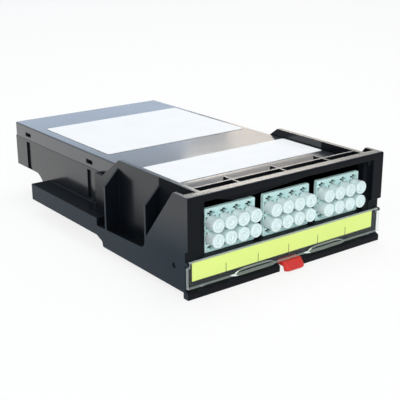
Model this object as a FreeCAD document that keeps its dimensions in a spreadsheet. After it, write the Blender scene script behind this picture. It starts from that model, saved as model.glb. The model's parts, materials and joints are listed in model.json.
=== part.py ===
import FreeCAD, Part
import Sketcher
import math
import os
import re

# Fibre cassette, 24 LC ports in front and two MPO ports behind, in millimetres.
# X runs across the front, Y from the front face to the back, Z up from the foot of the front lip.
# Every formula counts Y from the front face. The finished pieces are then moved back together,
# so that the model's origin lies under the middle of the cassette.

SIZES = {
    # front frame
    "stile_width": 6.0,
    "front_wall": 2.2,
    "rail_depth": 4.6,
    "rail_height": 2.8,
    "rail_round": 0.8,
    "sill_top": 15.3,
    "sill_plate": 1.2,
    "lip_height": 3.5,
    "lip_depth": 3.1,
    "lip_slope": 0.9,
    "pocket_setback": 1.8,
    "pocket_rise": 3.7,
    "corner_lug": 2.4,
    # outer side plates, with their window, fins and runners
    "side_wall": 1.8,
    "side_bottom": 2.45,
    "side_step_start": 62.2,
    "side_step_height": 2.3,
    "side_step_end": 67.3,
    "runner_bottom": 6.5,
    "runner_top": 14.4,
    "runner_overrun": 4.6,
    "runner_ledge": 1.8,
    "ledge_start": 66.7,
    "window_sill": 11.0,
    "window_rise": 1.2,
    "window_round": 3.0,
    "fin_thickness": 1.3,
    "fin_drop": 10.4,
    "front_fin": 28.1,
    "rear_fin": 58.6,
    "notch_bottom": 17.8,
    "ear_depth": 9.4,
    "dimple_radius": 1.1,
    "dimple_depth": 0.6,
    "dimple_back": 9.1,
    "dimple_up": 11.7,
    # channels between the side plates and the cheeks
    "channel_width": 7.0,
    "channel_floor": 10.8,
    "channel_wall": 1.6,
    "cheek_wall": 2.4,
    "cheek_slope": 14.1,
    "cheek_tail": 6.5,
    "cheek_lip": 0.1,
    # case behind the frame
    "case_gap": 0.2,
    "case_depth": 163.0,
    "case_wall": 1.8,
    "case_floor": 1.75,
    "chamber_end": 34.0,
    "belly_slope": 16.0,
    "belly_round": 6.0,
    "tail_length": 23.0,
    "tail_bottom": 15.15,
    "groove_width": 4.2,
    "groove_depth": 0.9,
    "groove_foot": 0.4,
    "groove_head": 1.3,
    # bulkhead that holds the front adapters, with its roof and ribs
    "panel_front": 5.6,
    "bulkhead_front": 8.4,
    "bulkhead_wall": 1.2,
    "roof_end": 14.0,
    "rib_pitch": 24.4,
    "rib_width": 1.0,
    # lid
    "headroom": 2.2,
    "lid_height": 6.8,
    "lid_drop": 3.5,
    "lid_plate": 1.8,
    "lid_wall": 1.8,
    "lid_corner": 1.2,
    "lid_edge": 0.6,
    "lid_clearance": 0.2,
    # snap tongues and the lid windows that they catch in
    "front_snap": 88.0,
    "rear_snap_inset": 14.0,
    "tongue_width": 4.0,
    "tongue_wall": 1.2,
    "tongue_foot": 5.5,
    "tongue_clearance": 0.1,
    "tongue_end_gap": 0.9,
    "nub_depth": 0.4,
    "nub_clearance": 0.3,
    "relief_depth": 0.6,
    "snap_window_width": 5.6,
    "snap_window_height": 1.8,
    "snap_window_drop": 3.4,
    # labels
    "label_thickness": 0.2,
    "label_round": 1.0,
    "label_left_margin": 5.1,
    "rear_label_right_margin": 2.9,
    "rear_label_back_margin": 24.6,
    "rear_label_length": 58.9,
    "front_label_right_margin": 0.9,
    "front_label_front_margin": 12.3,
    "front_label_length": 26.5,
    "strip_margin": 3.3,
    "strip_height": 7.5,
    "strip_drop": 0.45,
    "strip_inset": 0.05,
    "strip_clearance": 0.2,
    # clear cover over the label strip
    "cover_wall": 1.5,
    "cover_front": 0.15,
    "cover_bottom": 4.3,
    "cover_end_gap": 0.2,
    "hinge_drop": 0.85,
    "hinge_pin_radius": 0.45,
    "hinge_clearance": 0.05,
    "ear_width": 0.9,
    "ear_radius": 0.8,
    "ear_clearance": 0.2,
    "ear_relief": 1.5,
    "finger_bar_gap": 19.6,
    "finger_bar_width": 21.6,
    "finger_bar_height": 2.4,
    "finger_bar_depth": 0.9,
    "clip_margin": 6.9,
    "clip_width": 1.4,
    "clip_height": 1.0,
    "clip_depth": 0.3,
    # release lever under the floor
    "tab_width": 10.0,
    "tab_reach": 3.7,
    "tab_tip": 0.2,
    "tab_curl": 0.9,
    "tab_nose": 1.9,
    "tab_shoulder": 0.8,
    "tab_top": 4.0,
    "tab_wall": 1.8,
    "neck_rise": 2.4,
    "neck_length": 4.2,
    "notch_clearance": 1.1,
    "notch_height": 5.0,
    "arm_width": 8.8,
    "arm_low": 4.6,
    "arm_high": 6.4,
    "arm_end": 32.0,
    "hook_length": 3.2,
    "hook_low": 1.1,
    "spring_space": 0.4,
    "hub_radius": 2.6,
    "hub_width": 7.0,
    "pivot_back": 17.0,
    "pivot_height": 5.4,
    "pin_radius": 1.0,
    "pin_clearance": 0.05,
    "pin_end_gap": 0.3,
    "tunnel_wall": 1.4,
    "tunnel_height": 8.9,
    "tunnel_end": 36.6,
    "tunnel_side_gap": 1.6,
    "spring_wire": 0.5,
    "spring_radius": 1.9,
    "spring_pitch": 0.6,
    "spring_turns": 4.0,
    "spring_rear_leg": 4.5,
    "spring_front_leg": 5.0,
    "spring_gap": 0.15,
    # front adapters, two rows of four ports in each block
    "block_gap": 4.4,
    "block_lift": 0.2,
    "chamber_margin": 1.5,
    "adapter_height": 8.85,
    "adapter_gap": 0.1,
    "adapter_round": 0.6,
    "adapter_front": 4.0,
    "adapter_length": 24.0,
    "flange_thickness": 1.5,
    "flange_margin": 1.2,
    "adapter_clearance": 0.1,
    "port_pitch": 6.25,
    "port_margin": 3.025,
    "port_offset": 3.1,
    "port_width": 5.0,
    "port_height": 4.9,
    "port_depth": 9.0,
    "latch_stem_width": 1.4,
    "latch_stem_height": 2.3,
    "latch_bar_width": 3.8,
    "latch_bar_height": 0.8,
    "latch_bar_lift": 0.9,
    "barrel_radius": 1.7,
    "barrel_length": 3.0,
    "sleeve_radius": 0.8,
    "sleeve_wall": 0.17,
    "sleeve_clearance": 0.03,
    "sleeve_end_gap": 0.3,
    # dust caps of the front ports
    "cap_radius": 2.85,
    "cap_head": 5.2,
    "cap_shank_radius": 2.25,
    "cap_shank": 6.0,
    "cap_bore_radius": 1.95,
    "cap_ring_radius": 1.75,
    "cap_ring_depth": 0.6,
    "cap_eye_radius": 0.8,
    "cap_eye_depth": 1.6,
    # plugs inside the case
    "plug_size": 4.4,
    "plug_length": 12.0,
    "plug_gap": 0.3,
    "ferrule_radius": 0.6,
    "ferrule_length": 5.4,
    "boot_length": 12.0,
    "boot_radius": 1.9,
    "boot_tip_radius": 1.0,
    # rear adapters, plugs and dust caps
    "mpo_spacing": 40.0,
    "mpo_width": 14.4,
    "mpo_tall": 10.4,
    "mpo_inside": 18.0,
    "mpo_outside": 5.0,
    "mpo_flange_width": 19.0,
    "mpo_flange_tall": 11.4,
    "mpo_flange": 1.5,
    "mpo_clearance": 0.1,
    "mpo_port_width": 9.4,
    "mpo_port_tall": 7.2,
    "mpo_port_depth": 8.0,
    "mpo_fit": 0.1,
    "mpo_cap_head": 3.0,
    "mpo_cap_width": 12.4,
    "mpo_cap_tall": 9.4,
    "mpo_cap_shank": 7.0,
    "mpo_cap_wall": 1.2,
    "mpo_plug_length": 19.0,
    "mpo_plug_insert": 7.6,
    "mpo_boot_length": 11.0,
    "mpo_boot_radius": 3.0,
    "mpo_boot_tip_radius": 1.9,
    # fibre spools on the floor and the fibre round them
    "spool_inset": 32.0,
    "spool_radius": 13.0,
    "spool_wall": 1.6,
    "spool_height": 7.6,
    "spool_tab_length": 5.6,
    "spool_tab_width": 5.0,
    "spool_tab_wall": 1.2,
    "coil_radius": 2.2,
    "coil_gap": 0.2,
    "coil_margin": 3.5,
    "fibre_radius": 0.45,
    "fan_straight": 6.0,
    "fan_rise": 3.0,
    "fan_run": 7.0,
    "fan_entry": 0.6,
    "fan_aside": 0.8,
    "fan_over": 0.6,
    "lead_radius": 1.5,
    "lead_straight": 5.0,
    "lead_swing": 5.0,
    "lead_rise": 5.0,
    "lead_run": 13.0,
    "lead_entry": 1.0,
}

PLACES = {
    # across, from the ports outwards
    "block_width": "3 * port_pitch + 2 * port_margin",
    "block_pitch": "block_width + block_gap",
    "cheek_inner": "block_pitch + block_width / 2 + chamber_margin",
    "cheek_outer": "cheek_inner + cheek_wall",
    "half_width": "cheek_outer + channel_width",
    "side_inner": "half_width - side_wall",
    "opening_half": "half_width - stile_width",
    "case_side": "cheek_inner - case_gap",
    "case_inner": "case_side - case_wall",
    "lid_inner": "case_side - lid_wall",
    "tunnel_inner": "tab_width / 2 + tunnel_side_gap",
    "tunnel_outer": "tunnel_inner + tunnel_wall",
    # up, from the sill under the ports
    "block_low": "sill_top + block_lift",
    "block_middle": "block_low + adapter_height + adapter_gap / 2",
    "adapter_low": "block_middle + adapter_gap / 2",
    "adapter_high": "adapter_low + adapter_height",
    "block_high": "adapter_high",
    "upper_row": "block_middle + port_offset",
    "lower_row": "block_middle - port_offset",
    "lid_under": "block_high + headroom",
    "lid_top": "lid_under + lid_plate",
    "frame_height": "lid_top + lid_drop",
    "rail_bottom": "frame_height - rail_height",
    "pocket_top": "sill_top + pocket_rise",
    "fin_shoulder": "frame_height - fin_drop",
    "case_seam": "lid_top - lid_height",
    "cheek_shoulder": "case_seam + cheek_lip",
    "floor_top": "side_bottom + case_floor",
    "tunnel_roof": "tunnel_height + tunnel_wall",
    "groove_low": "tail_bottom + groove_foot",
    "groove_high": "case_seam - groove_head",
    "tongue_low": "case_seam - tongue_foot",
    "tongue_high": "lid_under - tongue_end_gap",
    "snap_window_high": "lid_top - snap_window_drop",
    "snap_window_low": "snap_window_high - snap_window_height",
    "hinge_height": "sill_top - hinge_drop",
    "strip_high": "hinge_height - strip_drop",
    "strip_low": "strip_high - strip_height",
    "mpo_height": "(tail_bottom + case_seam) / 2",
    "coil_height": "floor_top + coil_gap + coil_radius",
    # back, from the front face
    "sill_back": "pocket_setback + front_wall",
    "bulkhead_back": "bulkhead_front + bulkhead_wall",
    "lid_front": "roof_end + lid_clearance",
    "cheek_top_end": "rear_fin",
    "cheek_slope_end": "cheek_top_end + cheek_slope",
    "cheek_end": "cheek_slope_end + cheek_tail",
    "tail_start": "case_depth - tail_length",
    "belly_end": "tail_start - belly_slope",
    "runner_end": "belly_end + runner_overrun",
    "rear_snap": "case_depth - rear_snap_inset",
    "cover_back": "cover_front + cover_wall",
    "hinge_back": "cover_front + cover_wall / 2",
    "adapter_back": "adapter_front + adapter_length",
    "web_front": "adapter_front + port_depth",
    "web_back": "adapter_back - port_depth",
    "barrel_back": "web_back + barrel_length",
    "plug_front": "barrel_back + plug_gap",
    "plug_back": "plug_front + plug_length",
    "boot_end": "plug_back + boot_length",
    "spool_back": "belly_end - spool_inset",
    "coil_turn": "spool_radius + coil_gap + coil_radius",
    "mpo_inner_end": "case_depth - mpo_inside",
    "mpo_outer_end": "case_depth + mpo_outside",
    "mpo_plug_back": "mpo_inner_end + mpo_plug_insert",
    "mpo_plug_front": "mpo_plug_back - mpo_plug_length",
    "mpo_boot_end": "mpo_plug_front - mpo_boot_length",
    "cap_front": "adapter_front - cap_head",
    "mpo_cap_back": "mpo_outer_end + mpo_cap_head",
    "middle": "(mpo_cap_back - tab_reach) / 2",
    # ends of what is spread across the width
    "spool_side": "case_inner - coil_margin - coil_radius - coil_turn",
    "cover_end": "half_width - cover_end_gap",
    "hinge_end": "half_width - ear_width - ear_clearance",
    "strip_half": "half_width - strip_margin",
    "clip_offset": "half_width - clip_margin",
    "label_left": "label_left_margin - case_side",
    "rear_label_right": "case_side - rear_label_right_margin",
    "rear_label_back": "case_depth - rear_label_back_margin",
    "rear_label_front": "rear_label_back - rear_label_length",
    "front_label_right": "case_side - front_label_right_margin",
    "front_label_front": "lid_front + front_label_front_margin",
    "front_label_back": "front_label_front + front_label_length",
}

DOC = FreeCAD.newDocument("FibreCassette")
NODES = []

PLANES = {
    "xy": ((1, 0, 0), (0, 1, 0), (0, 0, 1)),
    "xz": ((1, 0, 0), (0, 0, 1), (0, 1, 0)),
    "yz": ((0, 1, 0), (0, 0, 1), (1, 0, 0)),
}


# ---------------------------------------------------------------- sheets and formulas

def fill_sheet(title, cells):
    """One row per name: the name in column A, its value or formula in column B."""
    sheet = DOC.addObject("Spreadsheet::Sheet", title)
    for row, (name, content) in enumerate(cells.items(), start=1):
        sheet.set(f"A{row}", name)
        sheet.set(f"B{row}", content)
        sheet.setAlias(f"B{row}", name)
    return sheet


def qualified(word):
    """A name with the sheet that holds it, and any other word as it is."""
    name = word.group()
    if name in SIZES:
        return "Sizes." + name
    if name in PLACES:
        return "Places." + name
    return name


def formula(text):
    return re.sub(r"[a-z]\w*", qualified, str(text))


def number(text):
    """What a formula over the sheets comes to."""
    return float(SHEET.evalExpression(formula(text)))


def bind(item, **formulas):
    for name, text in formulas.items():
        item.setExpression(name, formula(text))
    return item


def move(item, x=0, y=0, z=0, prefix="Placement"):
    for axis, text in zip("xyz", (x, y, z)):
        item.setExpression(f"{prefix}.Base.{axis}", formula(text))
    return item


# ---------------------------------------------------------------- solids

def block(name, x, y, z):
    """A box between two formulas on each axis."""
    item = DOC.addObject("Part::Box", name)
    for side, (low, high) in zip(("Length", "Width", "Height"), (x, y, z)):
        item.setExpression(side, formula(f"({high}) - ({low})"))
    return move(item, x[0], y[0], z[0])


def wide(name, half, y, z):
    """A box centred on X."""
    return block(name, (f"-({half})", half), y, z)


def turned(axis):
    """The rotation that lays a shape's own Z along an axis."""
    along = {"x": (1, 0, 0), "y": (0, 1, 0), "z": (0, 0, 1)}[axis]
    return FreeCAD.Rotation(FreeCAD.Vector(0, 0, 1), FreeCAD.Vector(*along))


def rod(name, axis, radius, start, length):
    """A cylinder from a start point along an axis."""
    item = DOC.addObject("Part::Cylinder", name)
    item.Placement.Rotation = turned(axis)
    bind(item, Radius=radius, Height=length)
    return move(item, *start)


def cone(name, axis, radii, start, length):
    item = DOC.addObject("Part::Cone", name)
    item.Placement.Rotation = turned(axis)
    bind(item, Radius1=radii[0], Radius2=radii[1], Height=length)
    return move(item, *start)


def pin_to_origin(sketch, index, corner):
    """Hold a point of a sketch at two formulas."""
    for kind, text in zip(("DistanceX", "DistanceY"), corner):
        spot = sketch.addConstraint(Sketcher.Constraint(kind, -1, 1, index, 1, number(text)))
        sketch.setExpression(f"Constraints[{spot}]", formula(text))


def rounded_corner(sketch, mark, before, after, radius, ends):
    """A tangent arc between two sides of an outline whose sharp corner is the mark."""
    start, centre, finish = ends
    left_turn = (centre - start).cross(finish - centre).z < 0
    first, last = (start, finish) if left_turn else (finish, start)
    angles = [math.atan2(spot.y - centre.y, spot.x - centre.x) for spot in (first, last)]
    circle = Part.Circle(centre, FreeCAD.Vector(0, 0, 1), number(radius))
    arc = sketch.addGeometry(Part.ArcOfCircle(circle, *angles))
    near, far = (1, 2) if left_turn else (2, 1)
    sketch.addConstraint(Sketcher.Constraint("Tangent", before, 2, arc, near))
    sketch.addConstraint(Sketcher.Constraint("Tangent", after, 1, arc, far))
    sketch.addConstraint(Sketcher.Constraint("PointOnObject", mark, 1, before))
    sketch.addConstraint(Sketcher.Constraint("PointOnObject", mark, 1, after))
    size = sketch.addConstraint(Sketcher.Constraint("Radius", arc, number(radius)))
    sketch.setExpression(f"Constraints[{size}]", formula(radius))


def draw(sketch, corners):
    """Close an outline through corners given as (across, up) or (across, up, radius)."""
    spots = [FreeCAD.Vector(number(corner[0]), number(corner[1]), 0) for corner in corners]
    radii = [corner[2] if len(corner) > 2 else 0 for corner in corners]
    bends = []
    for index, spot in enumerate(spots):
        back = (spots[index - 1] - spot).normalize()
        ahead = (spots[(index + 1) % len(spots)] - spot).normalize()
        half = back.getAngle(ahead) / 2
        reach = number(radii[index]) / math.tan(half)
        middle = (back + ahead).normalize() * (number(radii[index]) / math.sin(half))
        bends.append((spot + back * reach, spot + middle, spot + ahead * reach))
    sides = []
    for index, bend in enumerate(bends):
        finish = bends[(index + 1) % len(bends)][0]
        sides.append(sketch.addGeometry(Part.LineSegment(bend[2], finish)))
    for index, corner in enumerate(corners):
        mark = sketch.addGeometry(Part.Point(spots[index]), True)
        pin_to_origin(sketch, mark, corner[:2])
        before, after = sides[index - 1], sides[index]
        if radii[index]:
            rounded_corner(sketch, mark, before, after, radii[index], bends[index])
        else:
            sketch.addConstraint(Sketcher.Constraint("Coincident", before, 2, mark, 1))
            sketch.addConstraint(Sketcher.Constraint("Coincident", after, 1, mark, 1))


def slab(name, plane, corners, low, high):
    """An outline drawn on a plane and extruded between two places on the third axis."""
    across, up, along = (FreeCAD.Vector(*axis) for axis in PLANES[plane])
    sketch = DOC.addObject("Sketcher::SketchObject", name + "_outline")
    draw(sketch, corners)
    sketch.Placement.Rotation = FreeCAD.Rotation(across, up, across.cross(up), "ZXY")
    item = DOC.addObject("Part::Extrusion", name)
    item.Base = sketch
    item.DirMode = "Custom"
    item.Dir = along
    item.Solid = True
    bind(item, LengthFwd=f"({high}) - ({low})")
    shift = {"xy": (0, 0, low), "xz": (0, low, 0), "yz": (low, 0, 0)}[plane]
    return move(item, *shift)


def lathe(name, corners):
    """An outline of radius against Y, turned about the Y axis."""
    sketch = DOC.addObject("Sketcher::SketchObject", name + "_outline")
    draw(sketch, corners)
    item = DOC.addObject("Part::Revolution", name)
    item.Source = sketch
    item.Axis = FreeCAD.Vector(0, 1, 0)
    item.Angle = 360
    item.Solid = True
    return item


def mirrored(item, axis="x", at=0):
    """The mirror image across a plane square to an axis."""
    image = DOC.addObject("Part::Mirroring", item.Name + "_mirrored")
    image.Source = item
    image.Normal = {"x": FreeCAD.Vector(1, 0, 0), "z": FreeCAD.Vector(0, 0, 1)}[axis]
    if at:
        image.setExpression(f"Base.{axis}", formula(at))
    return image


def pair(item):
    return [item, mirrored(item)]


def copy_of(item, name, x=0, z=0):
    link = DOC.addObject("App::Link", name)
    link.LinkedObject = item
    return move(link, x=x, z=z)


def fuse(name, items):
    item = DOC.addObject("Part::MultiFuse", name)
    item.Shapes = items
    return item


def cut(name, base, tools):
    item = DOC.addObject("Part::Cut", name)
    item.Base = base
    item.Tool = fuse(name + "_tools", tools) if len(tools) > 1 else tools[0]
    return item


def node(label, solids, x=0):
    """A finished piece: its solids in one compound, measured from the model's origin."""
    item = DOC.addObject("Part::Compound", label)
    item.Links = solids
    NODES.append(item)
    return move(item, x=x, y="-middle")


# ---------------------------------------------------------------- features of a design body

def sketch_in(body, name, plane, corners, offset):
    """A sketch in a body, on one of the body's own origin planes and off it by a formula."""
    role = plane.upper() + "_Plane"
    support = next(item for item in body.Origin.OriginFeatures if item.Role == role)
    sketch = body.newObject("Sketcher::SketchObject", name + "_outline")
    sketch.AttachmentSupport = (support, "")
    sketch.MapMode = "FlatFace"
    draw(sketch, corners)
    return move(sketch, z=offset, prefix="AttachmentOffset")


def pad(body, name, plane, corners, low, high):
    """Material between two places along the plane's normal; XZ faces the front."""
    offset = f"-({high})" if plane == "xz" else low
    feature = body.newObject("PartDesign::Pad", name)
    feature.Profile = sketch_in(body, name, plane, corners, offset)
    return bind(feature, Length=f"({high}) - ({low})")


def pocket(body, name, plane, corners, low, high):
    offset = f"-({low})" if plane == "xz" else high
    feature = body.newObject("PartDesign::Pocket", name)
    feature.Profile = sketch_in(body, name, plane, corners, offset)
    return bind(feature, Length=f"({high}) - ({low})")


def soften(body, name, kind, size, wanted):
    """A fillet or chamfer on the edges of the body so far for which wanted(edge) is true."""
    DOC.recompute()
    base = body.Tip
    edges = [f"Edge{index}" for index, edge in enumerate(base.Shape.Edges, start=1) if wanted(edge)]
    feature = body.newObject("PartDesign::" + kind, name)
    feature.Base = (base, edges)
    return bind(feature, **{"Radius" if kind == "Fillet" else "Size": size})


def rectangle(left, right, low, high, radius=None):
    corners = [(left, low), (right, low), (right, high), (left, high)]
    return [corner + (radius,) for corner in corners] if radius else corners


def level(edge, place):
    """Whether an edge lies wholly at one height."""
    box = edge.BoundBox
    return abs(box.ZMin - place) < 0.01 and abs(box.ZMax - place) < 0.01


# ---------------------------------------------------------------- cassette base

def front_frame():
    """Lip, label pocket, stiles and top rail as one section, with the port opening through it."""
    section = [
        ("0", "0"),
        ("lip_depth", "0"),
        ("lip_depth", "side_bottom"),
        ("sill_back", "side_bottom"),
        ("sill_back", "pocket_top"),
        ("front_wall", "pocket_top + pocket_setback"),
        ("front_wall", "rail_bottom"),
        ("rail_depth", "rail_bottom"),
        ("rail_depth", "frame_height"),
        ("0", "frame_height", "rail_round"),
        ("0", "pocket_top + lip_slope"),
        ("pocket_setback", "pocket_top"),
        ("pocket_setback", "lip_height"),
        ("0", "lip_height - lip_slope"),
    ]
    frame = slab("frame_section", "yz", section, "-half_width", "half_width")
    opening = wide("port_opening", "opening_half", ("-1", "rail_depth + 1"),
                   ("sill_top", "rail_bottom"))
    posts = block("opening_post", ("cheek_inner", "opening_half + channel_wall"),
                  ("front_wall", "bulkhead_back"), ("side_bottom", "rail_bottom"))
    lugs = block("corner_lug", ("opening_half - corner_lug", "opening_half"),
                 ("front_wall / 2", "rail_depth"), ("rail_bottom - corner_lug", "rail_bottom"))
    return [cut("front_frame", frame, [opening])] + pair(posts) + pair(lugs)


def side_plates():
    """The outer plates: window, V notch, ear, and the runner at the back."""
    outline = [
        ("pocket_setback", "side_bottom"),
        ("side_step_start", "side_bottom", 0.8),
        ("side_step_start + 0.6", "side_bottom + side_step_height", 1.0),
        ("side_step_end", "runner_bottom", 1.0),
        ("runner_end", "runner_bottom"),
        ("runner_end", "runner_top"),
        ("ledge_start", "runner_top"),
        ("ledge_start", "window_sill"),
        ("front_fin + fin_thickness", "window_sill + window_rise", "window_round"),
        ("front_fin + fin_thickness", "notch_bottom"),
        ("front_fin", "notch_bottom"),
        ("ear_depth", "frame_height"),
        ("pocket_setback", "frame_height"),
    ]
    plate = slab("side_plate", "yz", outline, "side_inner", "half_width")
    dimple = rod("side_dimple", "x", "dimple_radius",
                 ("half_width - dimple_depth", "dimple_back", "dimple_up"), "dimple_depth + 1")
    plate = cut("dimpled_plate", plate, [dimple])
    ledge = block("runner_ledge_plate", ("case_inner", "side_inner"), ("ledge_start", "runner_end"),
                  ("runner_top - runner_ledge", "runner_top"))
    floor = block("channel_floor_plate", ("cheek_inner", "side_inner"),
                  ("pocket_setback + 0.2", "ledge_start + runner_ledge"),
                  ("channel_floor - channel_wall", "channel_floor"))
    step = block("channel_step", ("cheek_inner", "side_inner"),
                 ("ledge_start", "ledge_start + runner_ledge"),
                 ("channel_floor - channel_wall", "runner_top"))
    items = [plate, ledge, floor, step]
    for name in ("front_fin", "rear_fin"):
        web = [
            ("half_width", "channel_floor - channel_wall / 2"),
            ("half_width", "fin_shoulder"),
            ("cheek_outer", "fin_shoulder + channel_width"),
            ("cheek_inner + 1", "fin_shoulder + channel_width"),
            ("cheek_inner + 1", "channel_floor - channel_wall / 2"),
        ]
        items.append(slab(name + "_web", "xz", web, name, name + " + fin_thickness"))
    return [side for item in items for side in pair(item)]


def cheeks():
    """The walls that flank the lid and carry the fins."""
    outline = [
        ("sill_back - 0.5", "side_bottom"),
        ("cheek_end", "side_bottom"),
        ("cheek_end", "cheek_shoulder"),
        ("cheek_slope_end", "cheek_shoulder"),
        ("cheek_top_end", "frame_height"),
        ("sill_back - 0.5", "frame_height"),
    ]
    cheek = slab("cheek", "yz", outline, "cheek_inner", "cheek_outer")
    filler = block("cheek_filler", ("case_inner", "cheek_inner + 0.5"), ("chamber_end", "cheek_end"),
                   ("side_bottom", "case_seam"))
    return pair(cheek) + pair(filler)


def case_shell():
    """The tray behind the bulkhead: floor, sloping belly, raised tail and walls."""
    outer = [
        ("bulkhead_front", "side_bottom"),
        ("belly_end", "side_bottom", "belly_round"),
        ("tail_start", "tail_bottom", "belly_round"),
        ("case_depth", "tail_bottom"),
        ("case_depth", "case_seam"),
        ("bulkhead_front", "case_seam"),
    ]
    inner = [
        ("bulkhead_front - 1", "floor_top"),
        ("belly_end - case_floor / 2", "floor_top", "belly_round"),
        ("tail_start - case_floor / 2", "tail_bottom + case_floor", "belly_round"),
        ("case_depth - case_wall", "tail_bottom + case_floor"),
        ("case_depth - case_wall", "case_seam + 1"),
        ("bulkhead_front - 1", "case_seam + 1"),
    ]
    body = slab("case_body", "yz", outer, "-case_side", "case_side")
    hollow = slab("case_hollow", "yz", inner, "-case_inner", "case_inner")
    chamber = wide("chamber_hollow", "cheek_inner", ("bulkhead_front - 1", "chamber_end"),
                   ("floor_top", "case_seam + 1"))
    shell = cut("case_shell", body, [hollow, chamber])
    apron = wide("front_floor", "cheek_outer", ("lip_depth - 0.5", "chamber_end + case_wall"),
                 ("side_bottom", "floor_top"))
    return [shell, apron]


def bulkhead():
    """The wall with the adapter windows, its face panel, the roof behind and the ribs."""
    plate = wide("bulkhead_plate", "cheek_inner + 0.5", ("bulkhead_front", "bulkhead_back"),
                 ("side_bottom", "frame_height"))
    panel = wide("adapter_panel", "cheek_inner + 0.5", ("panel_front", "bulkhead_front + 0.2"),
                 ("sill_top - sill_plate", "rail_bottom"))
    shelf = wide("sill_shelf", "cheek_inner + 0.5", ("sill_back - 0.2", "panel_front + 0.2"),
                 ("sill_top - sill_plate", "sill_top"))
    wall = fuse("bulkhead_wall", [plate, panel, shelf])
    windows = []
    for column in (-1, 0, 1):
        centre = f"{column} * block_pitch"
        reach = "block_width / 2 + adapter_clearance"
        windows.append(block(f"adapter_window_{column + 2}",
                             (f"{centre} - ({reach})", f"{centre} + {reach}"),
                             ("panel_front - 1", "bulkhead_back + 1"),
                             ("block_low - adapter_clearance", "block_high + adapter_clearance")))
    roof = wide("bulkhead_roof", "cheek_inner + 0.5", ("bulkhead_front", "roof_end"),
                ("lid_under", "lid_top"))
    items = [cut("bulkhead_with_windows", wall, windows), roof]
    for column in (-1, 0, 1):
        centre = f"{column} * rib_pitch"
        items.append(block(f"rib_{column + 2}",
                           (f"{centre} - rib_width / 2", f"{centre} + rib_width / 2"),
                           ("rail_depth - 0.5", "roof_end"), ("lid_top", "frame_height")))
    return items


def lever_tunnel():
    """The raised housing over the release lever."""
    return wide("lever_housing", "tunnel_outer", ("pocket_setback + 0.2", "tunnel_end + tunnel_wall"),
                ("side_bottom", "tunnel_roof"))


def snap_tongues():
    """Tongues inside the case walls, each with a nub that sits in a window of the lid."""
    items = []
    face = "lid_inner - tongue_clearance"
    for name in ("front_snap", "rear_snap"):
        across = (f"{name} - tongue_width / 2", f"{name} + tongue_width / 2")
        blade = block(name + "_blade", (f"{face} - tongue_wall", face), across,
                      ("tongue_low", "tongue_high"))
        foot = block(name + "_foot", (f"{face} - tongue_wall", "case_inner + case_wall / 2"), across,
                     ("tongue_low", "case_seam - lid_clearance"))
        nub = block(name + "_nub", (f"{face} - tongue_wall / 2", f"{face} + nub_depth"), across,
                    ("snap_window_low + nub_clearance", "snap_window_high - nub_clearance"))
        items += pair(blade) + pair(foot) + pair(nub)
    return items


def spools():
    """Two drums on the floor that the fibre is wound round, with tabs that keep it down."""
    items = []
    top = "floor_top + spool_height"
    for side, name in ((-1, "left"), (1, "right")):
        centre = f"{side} * spool_side"
        start = (centre, "spool_back", "floor_top - case_floor / 2")
        drum = rod(f"{name}_drum", "z", "spool_radius", start, "spool_height + case_floor / 2")
        core = rod(f"{name}_drum_core", "z", "spool_radius - spool_wall",
                   (centre, "spool_back", "floor_top"), "spool_height + 1")
        items.append(cut(f"{name}_spool", drum, [core]))
        for front, word in ((-1, "front"), (1, "rear")):
            near = f"spool_back + {front} * (spool_radius - spool_wall)"
            far = f"{near} + {front} * spool_tab_length"
            reach = (near, far) if front > 0 else (far, near)
            items.append(block(f"{name}_{word}_tab",
                               (f"{centre} - spool_tab_width / 2", f"{centre} + spool_tab_width / 2"),
                               reach, (f"{top} - spool_tab_wall", top)))
    return items


def hinge_ears():
    """Two small ears at the ends of the label pocket, bored for the cover's pins."""
    outline = [
        ("hinge_back - ear_radius", "hinge_height - ear_radius", "ear_radius - 0.01"),
        ("sill_back - 0.5", "hinge_height - ear_radius"),
        ("sill_back - 0.5", "hinge_height + ear_radius"),
        ("hinge_back - ear_radius", "hinge_height + ear_radius", "ear_radius - 0.01"),
    ]
    return slab("hinge_ear", "yz", outline, "half_width - ear_width", "half_width")


def base_cuts():
    """Everything that is cut into the joined base."""
    tunnel = wide("lever_space", "tunnel_inner", ("sill_back - 0.5", "tunnel_end"),
                  ("side_bottom - 1", "tunnel_height"))
    notch = wide("lip_notch", "tab_width / 2 + notch_clearance", ("-1", "sill_back"),
                 ("-1", "notch_height"))
    pin_hole = rod("lever_pin_hole", "x", "pin_radius",
                   ("-tunnel_outer", "pivot_back", "pivot_height"), "2 * tunnel_outer")
    strip = wide("strip_recess", "strip_half + strip_clearance",
                 ("pocket_setback - 1", "pocket_setback + strip_inset + label_thickness"),
                 ("strip_low - strip_clearance", "strip_high + strip_clearance"))
    cuts = [tunnel, notch, pin_hole, strip]
    hole = rod("hinge_hole", "x", "hinge_pin_radius + hinge_clearance",
               ("half_width - ear_width - 0.1", "hinge_back", "hinge_height"), "ear_width - 0.1")
    cuts += pair(hole)
    for name in ("front_snap", "rear_snap"):
        groove = block(name + "_groove", ("case_side - groove_depth", "case_side + 1"),
                       (f"{name} - groove_width / 2", f"{name} + groove_width / 2"),
                       ("groove_low", "groove_high"))
        cuts += pair(groove)
    window = block("mpo_window",
                   ("(mpo_spacing - mpo_width) / 2 - mpo_clearance",
                    "(mpo_spacing + mpo_width) / 2 + mpo_clearance"),
                   ("case_depth - case_wall - 1", "case_depth + 1"),
                   ("mpo_height - mpo_tall / 2 - mpo_clearance",
                    "mpo_height + mpo_tall / 2 + mpo_clearance"))
    return cuts + pair(window)


def cassette_base():
    solids = front_frame() + side_plates() + cheeks() + case_shell() + bulkhead()
    solids += snap_tongues() + spools() + pair(hinge_ears()) + [lever_tunnel()]
    joined = fuse("base_solids", solids)
    node("cassette_base", [cut("base_moulding", joined, base_cuts())])


# ---------------------------------------------------------------- lid and labels

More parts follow.
